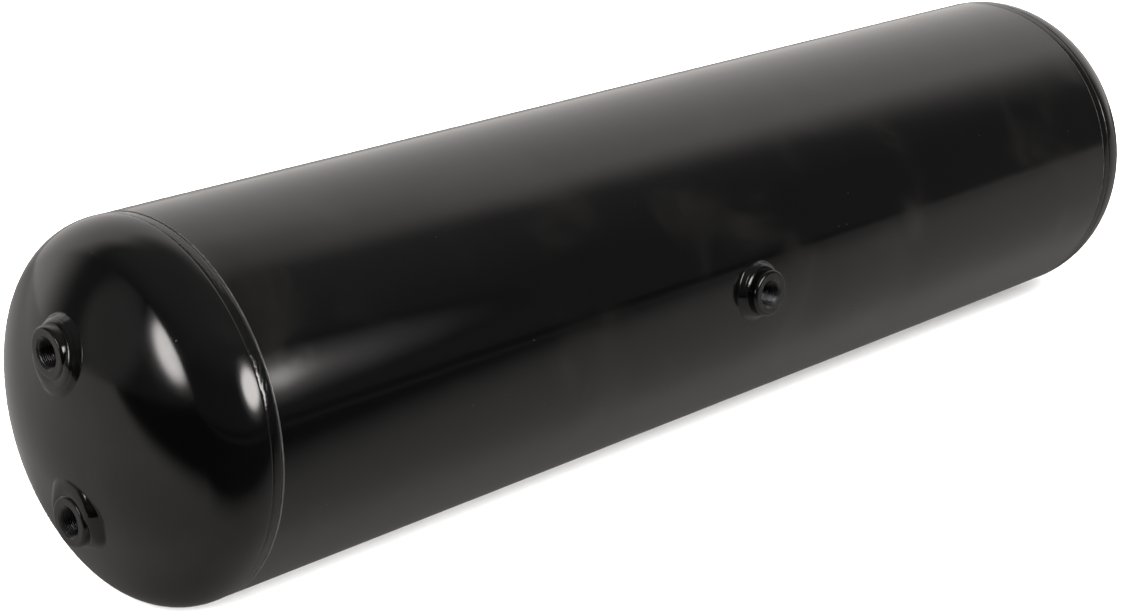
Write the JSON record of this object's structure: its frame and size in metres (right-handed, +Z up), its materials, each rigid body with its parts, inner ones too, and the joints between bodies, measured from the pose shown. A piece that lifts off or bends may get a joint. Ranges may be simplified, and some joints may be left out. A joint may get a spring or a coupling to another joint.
{
  "type": "horizontal pressure tank",
  "caption": "Long round steel pressure tank lying on its side, with dished ends, girth welds and tapped screw ports in both ends and the shell.",
  "frame": {"origin": "on the floor under the tank's axis, at the middle of the shell's length", "axes": "+X along the tank towards its right end, +Y away from the side port, +Z up from the floor that the shell lies on"},
  "size_m": [1.128, 0.3016, 0.276],
  "materials": {
    "shell": "gloss black paint over rolled steel plate",
    "head": "gloss black paint over pressed steel",
    "weld_bead": "gloss black paint over a rippled weld bead",
    "port": "gloss black paint over turned steel, thin and duller on the face"
  },
  "bodies": {
    "root": {"shell": "shell", "seam_weld": "weld_bead", "left_head": "head", "right_head": "head", "left_girth_weld": "weld_bead", "right_girth_weld": "weld_bead", "side_port": "port", "side_port_weld": "weld_bead", "back_port": "port", "back_port_weld": "weld_bead", "left_upper_port": "port", "left_upper_port_weld": "weld_bead", "left_lower_port": "port", "left_lower_port_weld": "weld_bead", "right_upper_port": "port", "right_upper_port_weld": "weld_bead", "right_lower_port": "port", "right_lower_port_weld": "weld_bead"}
  },
  "joints": []
}
